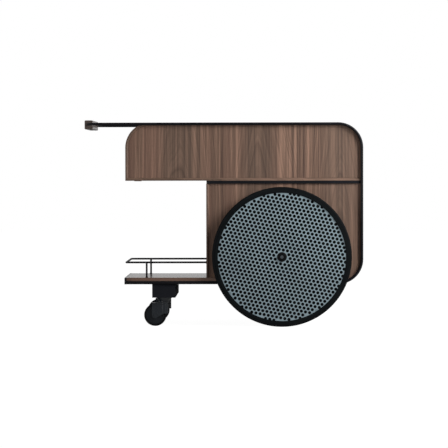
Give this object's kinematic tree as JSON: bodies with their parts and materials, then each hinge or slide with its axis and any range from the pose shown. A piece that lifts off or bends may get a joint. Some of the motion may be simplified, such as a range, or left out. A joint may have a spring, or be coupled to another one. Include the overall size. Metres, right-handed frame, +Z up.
{
  "type": "bar cart",
  "caption": "Bar cart with a long walnut drawer box over an open shelf and cabinet, a rod frame, perforated drum wheels and two castors.",
  "frame": {"origin": "on the floor, under the middle of the cart's bounding box", "axes": "+X from the handle to the round end, +Y from the pictured side to the far side, +Z up"},
  "size_m": [1.025, 0.5026, 0.758],
  "materials": {
    "black_paint": "black powder coat, satin",
    "walnut_shell": "walnut veneer, matt oil",
    "walnut_panel": "walnut veneer with upright grain, matt oil",
    "walnut_inside": "dark stained walnut",
    "black_board": "black faced board",
    "grip_leather": "dark brown leather, smooth",
    "steel": "zinc plated steel",
    "perforated_sheet": "grey-green paint, satin",
    "tyre_rubber": "black rubber",
    "castor_nylon": "black nylon",
    "castor_tread": "black soft tread",
    "cap_plastic": "black plastic",
    "plug_plastic": "grey plastic"
  },
  "bodies": {
    "root": {"side_rod_front": "black_paint", "side_rod_back": "black_paint", "handle_bar": "black_paint", "shelf_end_bar": "black_paint", "cross_ties": "black_paint", "castor_beam": "black_paint", "beam_end_plates": "black_paint", "gallery_rail": "black_paint", "gallery_posts": "black_paint", "rail_collars": "black_paint", "axle_flanges": "black_paint", "upper_shell": "walnut_shell", "lower_shell": "walnut_shell", "niche_stiles": "walnut_shell", "shelf_board": "walnut_shell", "upper_panel_front": "walnut_panel", "upper_panel_back": "walnut_panel", "lower_panel_front": "walnut_panel", "lower_panel_back": "walnut_panel", "niche_back": "walnut_inside", "middle_deck": "black_board", "upper_battens": "black_board", "lower_battens": "black_board", "handle_grip": "grip_leather", "grip_ends": "grip_leather", "frame_screws": "steel", "wheel_axle": "steel", "axle_nuts": "steel", "runner_channels": "steel", "castor_head_front": "castor_nylon", "castor_head_back": "castor_nylon"},
    "drawer": {"drawer_front": "walnut_shell", "drawer_sides": "walnut_inside", "drawer_back": "walnut_inside", "drawer_bottom": "black_board", "drawer_slides": "steel", "drawer_pull": "walnut_inside"},
    "wheel_front": {"tyre_front": "tyre_rubber", "rim_front": "black_paint", "perforated_disc_front": "perforated_sheet", "backing_disc_front": "black_board", "hub_front": "black_paint", "bearings_front": "steel", "hub_cap_front": "cap_plastic", "hub_plug_front": "plug_plastic"},
    "wheel_back": {"tyre_back": "tyre_rubber", "rim_back": "black_paint", "perforated_disc_back": "perforated_sheet", "backing_disc_back": "black_board", "hub_back": "black_paint", "bearings_back": "steel", "hub_cap_back": "cap_plastic", "hub_plug_back": "plug_plastic"},
    "castor_front": {"castor_body_front": "castor_nylon"},
    "castor_wheel_front": {"castor_core_front": "castor_nylon", "castor_tyre_front": "castor_tread"},
    "castor_back": {"castor_body_back": "castor_nylon"},
    "castor_wheel_back": {"castor_core_back": "castor_nylon", "castor_tyre_back": "castor_tread"}
  },
  "joints": [
    {"name": "drawer_slide", "type": "slide", "parent": "root", "child": "drawer", "axis": [-1, 0, 0], "range_m": [0, 0.28]},
    {"name": "wheel_front_spin", "type": "hinge", "parent": "root", "child": "wheel_front", "pos_m": [0.214, -0.234, 0.256], "axis": [0, 1, 0], "continuous": true},
    {"name": "wheel_back_spin", "type": "hinge", "parent": "root", "child": "wheel_back", "pos_m": [0.214, 0.234, 0.256], "axis": [0, 1, 0], "continuous": true},
    {"name": "castor_front_swivel", "type": "hinge", "parent": "root", "child": "castor_front", "pos_m": [-0.22, -0.172, 0.084], "axis": [0, 0, 1], "continuous": true},
    {"name": "castor_wheel_front_spin", "type": "hinge", "parent": "castor_front", "child": "castor_wheel_front", "pos_m": [-0.2525, -0.172, 0.041], "axis": [0, 1, 0], "continuous": true},
    {"name": "castor_back_swivel", "type": "hinge", "parent": "root", "child": "castor_back", "pos_m": [-0.22, 0.172, 0.084], "axis": [0, 0, 1], "continuous": true},
    {"name": "castor_wheel_back_spin", "type": "hinge", "parent": "castor_back", "child": "castor_wheel_back", "pos_m": [-0.2525, 0.172, 0.041], "axis": [0, 1, 0], "continuous": true}
  ]
}
